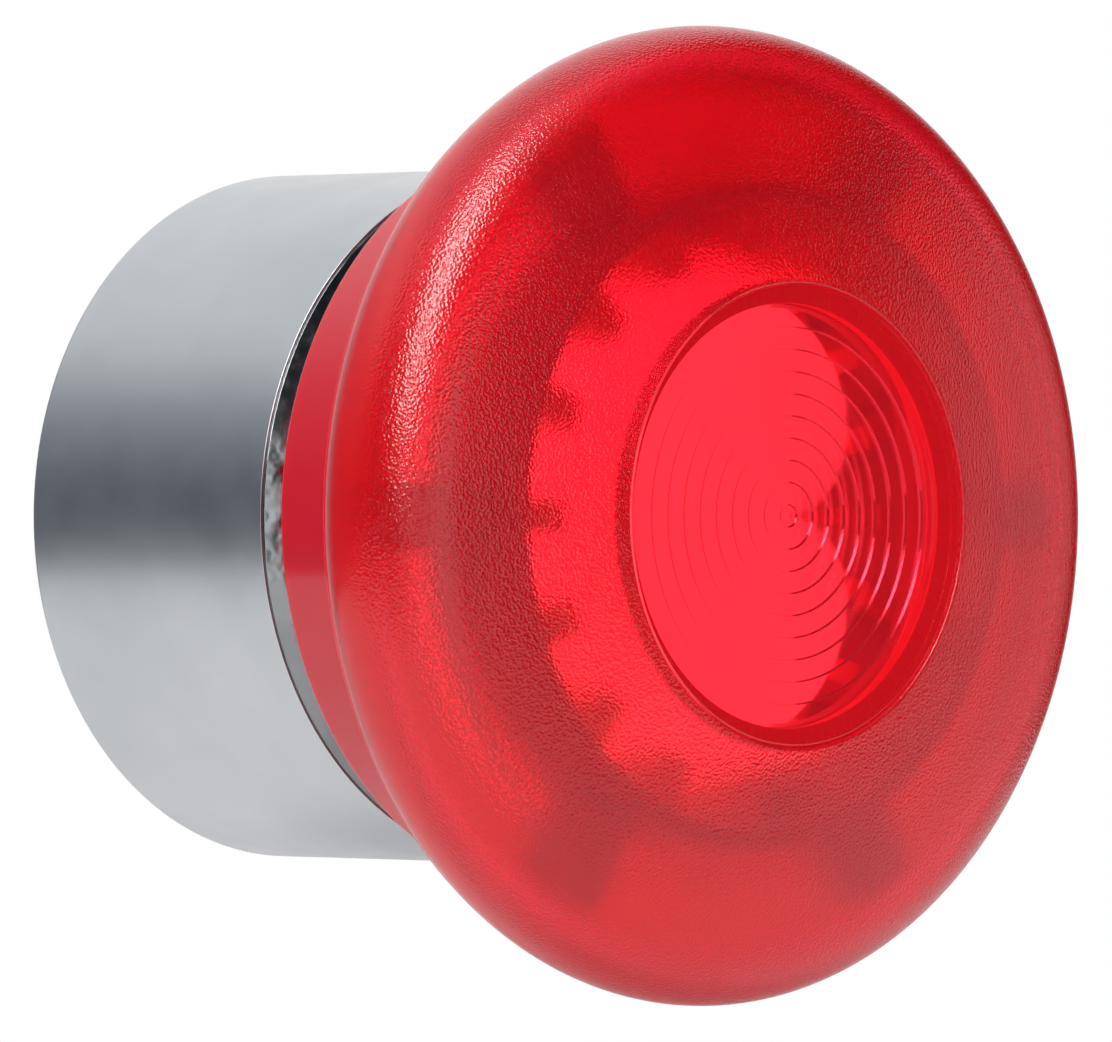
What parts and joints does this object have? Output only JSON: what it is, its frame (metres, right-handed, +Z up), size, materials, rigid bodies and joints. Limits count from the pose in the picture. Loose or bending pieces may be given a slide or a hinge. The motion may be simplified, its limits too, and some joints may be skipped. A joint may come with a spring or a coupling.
{
  "type": "emergency stop button",
  "caption": "Illuminated push-pull emergency stop operator: translucent red mushroom head with a Fresnel lens on a satin metal collar, for a 22 mm panel hole.",
  "frame": {"origin": "centre of the mounting face, where the collar meets the panel", "axes": "+Y along the button's axis into the panel, the head faces -Y, +Z up"},
  "size_m": [0.04, 0.0413, 0.04],
  "materials": {
    "collar_satin": "satin chrome-plated brass",
    "bevel_polished": "polished chrome",
    "cap_red": "translucent red polycarbonate, fine leather grain outside",
    "skirt_red": "translucent red polycarbonate, glossy",
    "lens_red": "clear red polycarbonate, polished",
    "carrier_red": "dark red polycarbonate",
    "diffuser_white": "opal polycarbonate",
    "housing_black": "glass-filled polyamide",
    "bush_pom": "natural acetal",
    "plunger_grey": "grey acetal",
    "latch_acetal": "orange acetal",
    "seal_black": "nitrile rubber",
    "seal_red": "red silicone rubber",
    "spring_steel": "spring steel wire",
    "screw_steel": "zinc-plated steel",
    "lamp_ceramic": "ivory thermoset",
    "lamp_metal": "nickel-plated brass",
    "contact_brass": "brass",
    "lamp_milky": "milky epoxy"
  },
  "bodies": {
    "housing": {"collar": "collar_satin", "front_ring": "bevel_polished", "housing_body": "housing_black", "panel_gasket": "seal_black", "guide_bush": "bush_pom", "wiper_seal": "seal_black", "latch_spring": "spring_steel", "return_spring": "spring_steel", "lamp_holder": "lamp_ceramic", "centre_contact": "contact_brass", "lamp_terminals": "contact_brass", "lamp_base": "lamp_metal", "lamp_dome": "lamp_milky"},
    "mushroom": {"mushroom_cap": "cap_red", "fresnel_lens": "lens_red", "lens_gasket": "seal_red", "mushroom_skirt": "skirt_red", "diffuser": "diffuser_white", "rib_carrier": "carrier_red", "plunger": "plunger_grey", "cap_screws": "screw_steel", "stop_clip": "spring_steel", "contact_pusher": "bush_pom"},
    "latch": {"latch_ring": "latch_acetal", "follower_pins": "screw_steel"}
  },
  "joints": [
    {"name": "mushroom_press", "type": "slide", "parent": "housing", "child": "mushroom", "axis": [0, 1, 0], "range_m": [0, 0.0045], "deforming": ["return_spring"]},
    {"name": "latch_ring_turn", "type": "hinge", "parent": "housing", "child": "latch", "pos_m": [0, -0.0105, 0], "axis": [0, -1, 0], "range_deg": [0, 30], "deforming": ["latch_spring"]}
  ],
  "couplings": [
    {"joint": "latch_ring_turn", "follows": "mushroom_press", "rad_per_m": 116.36}
  ]
}
